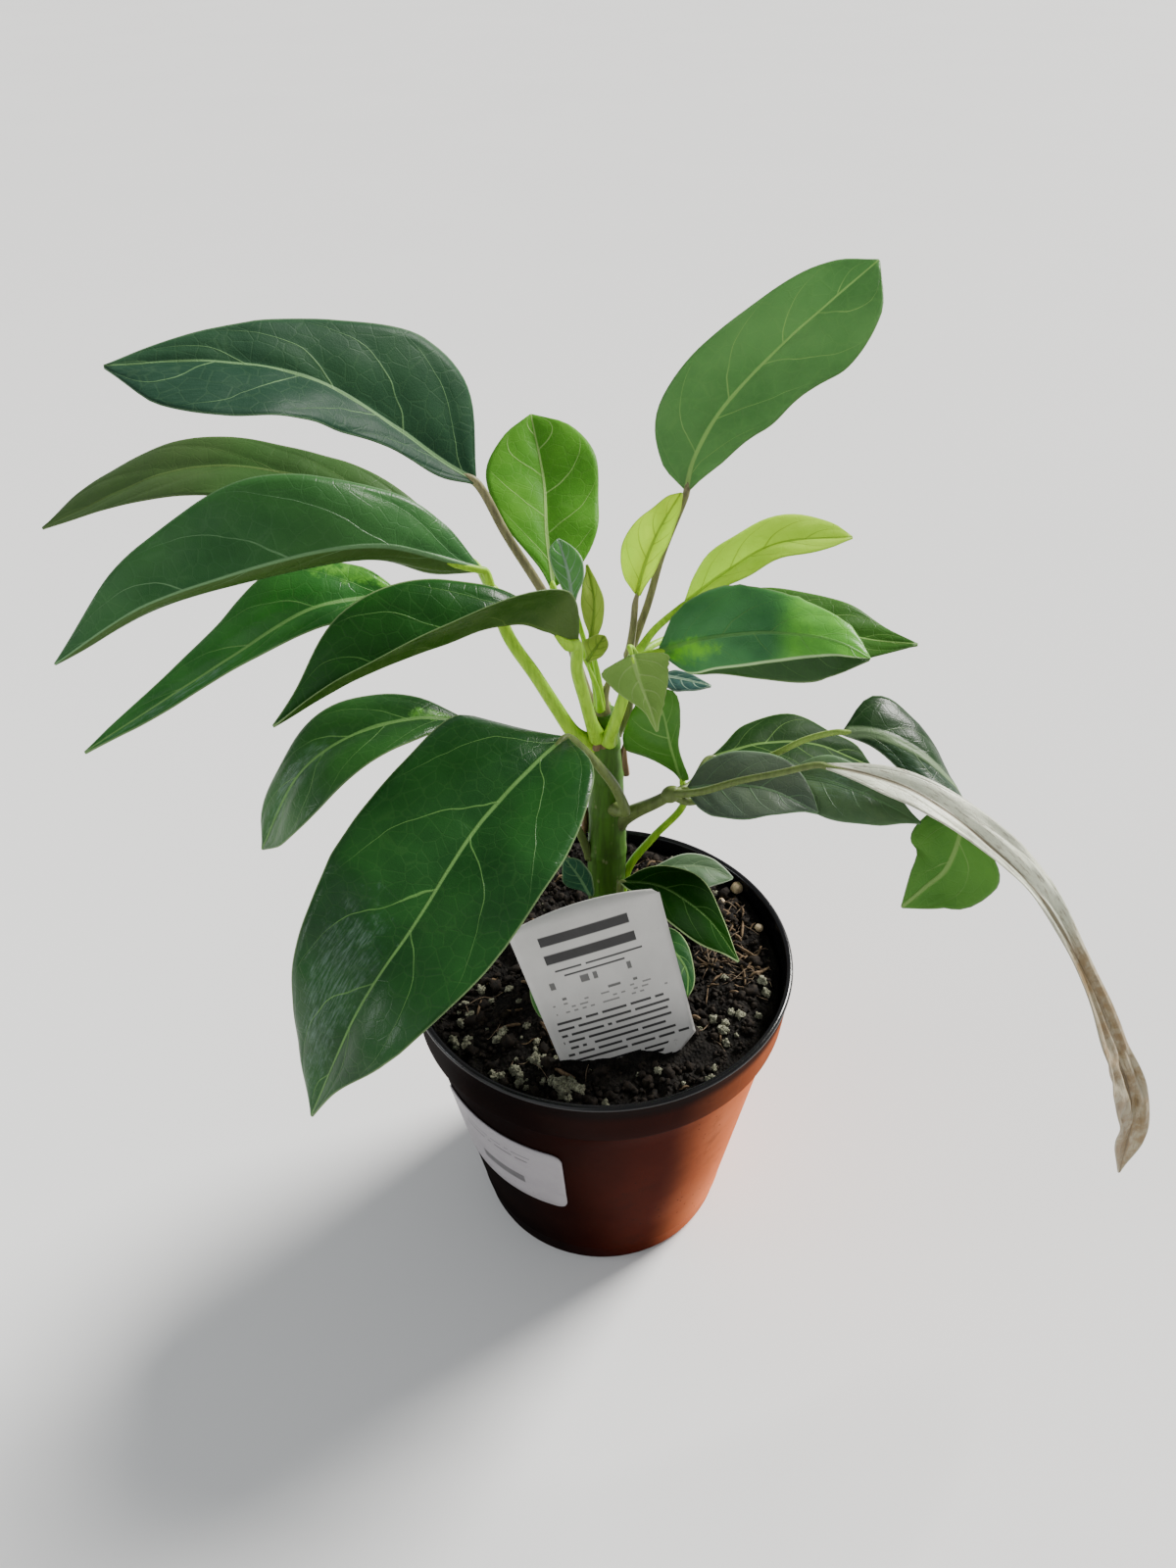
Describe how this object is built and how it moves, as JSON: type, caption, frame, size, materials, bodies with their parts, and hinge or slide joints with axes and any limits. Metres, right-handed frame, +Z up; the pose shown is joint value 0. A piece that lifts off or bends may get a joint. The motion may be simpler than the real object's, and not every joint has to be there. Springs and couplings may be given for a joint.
{
  "type": "potted umbrella plant",
  "caption": "Young umbrella plant with glossy oval leaflets on jointed stalks, standing in a round tapered plastic nursery pot of dark soil with a plain plant label.",
  "frame": {"origin": "centre of the pot's flat base, on the surface it stands on", "axes": "+Z up along the pot's axis, -Y towards the viewer of the picture, +X to that viewer's right"},
  "size_m": [0.3364, 0.1725, 0.327],
  "materials": {
    "pot": "smooth moulded plastic, terracotta brown, glossy inside the rim",
    "soil": "dark damp peat with pale granules and bark fibres",
    "label": "thin off-white plastic sheet",
    "sticker": "thin pale coated paper",
    "stem": "smooth green bark, slightly ringed at the nodes",
    "stalk": "smooth fleshy yellow-green stalk",
    "leaf_dark": "glossy dark green leaf with pale veins",
    "leaf_mid": "glossy mid green leaf with pale veins",
    "leaf_olive": "olive green leaf, satin",
    "leaf_yellow": "young yellow-green leaf, light shines through",
    "leaf_grey": "grey-green leaf with a silvery sheen",
    "leaf_withered": "withered leaf, silver-grey to tan, wrinkled"
  },
  "bodies": {
    "root": {"pot": "pot", "soil": "soil", "plant_label": "label", "pot_sticker": "sticker", "main_stem": "stem", "young_shoot": "leaf_yellow", "stalk_left": "stalk", "stalk_right": "stalk", "stalk_right_rear": "stalk", "stalk_low_right": "stem", "leaf_upper_left": "leaf_dark", "leaflet_left_rear": "leaf_olive", "leaflet_left_middle": "leaf_dark", "leaflet_left_front": "leaf_mid", "leaf_folded": "leaf_dark", "leaf_lower_left": "leaf_dark", "leaf_front": "leaf_dark", "leaf_top_rear": "leaf_mid", "leaflet_right_top": "leaf_mid", "leaflet_right_pale": "leaf_yellow", "leaflet_right_yellow": "leaf_yellow", "leaflet_right_front": "leaf_mid", "leaflet_right_rear": "leaf_mid", "leaflet_right_low": "leaf_grey", "leaflet_right_hanging": "leaf_olive", "leaf_behind_stem": "leaf_mid", "leaflet_low_left": "leaf_dark", "leaflet_low_rear": "leaf_mid", "leaflet_low_curled": "leaf_grey", "leaflet_low_twisted": "leaf_withered", "leaflet_low_middle": "leaf_dark", "basal_leaf_front": "leaf_dark", "basal_leaf_rear": "leaf_mid", "basal_leaf_left": "leaf_dark", "basal_leaf_right": "leaf_mid", "basal_leaf_hanging": "leaf_mid"}
  },
  "joints": []
}
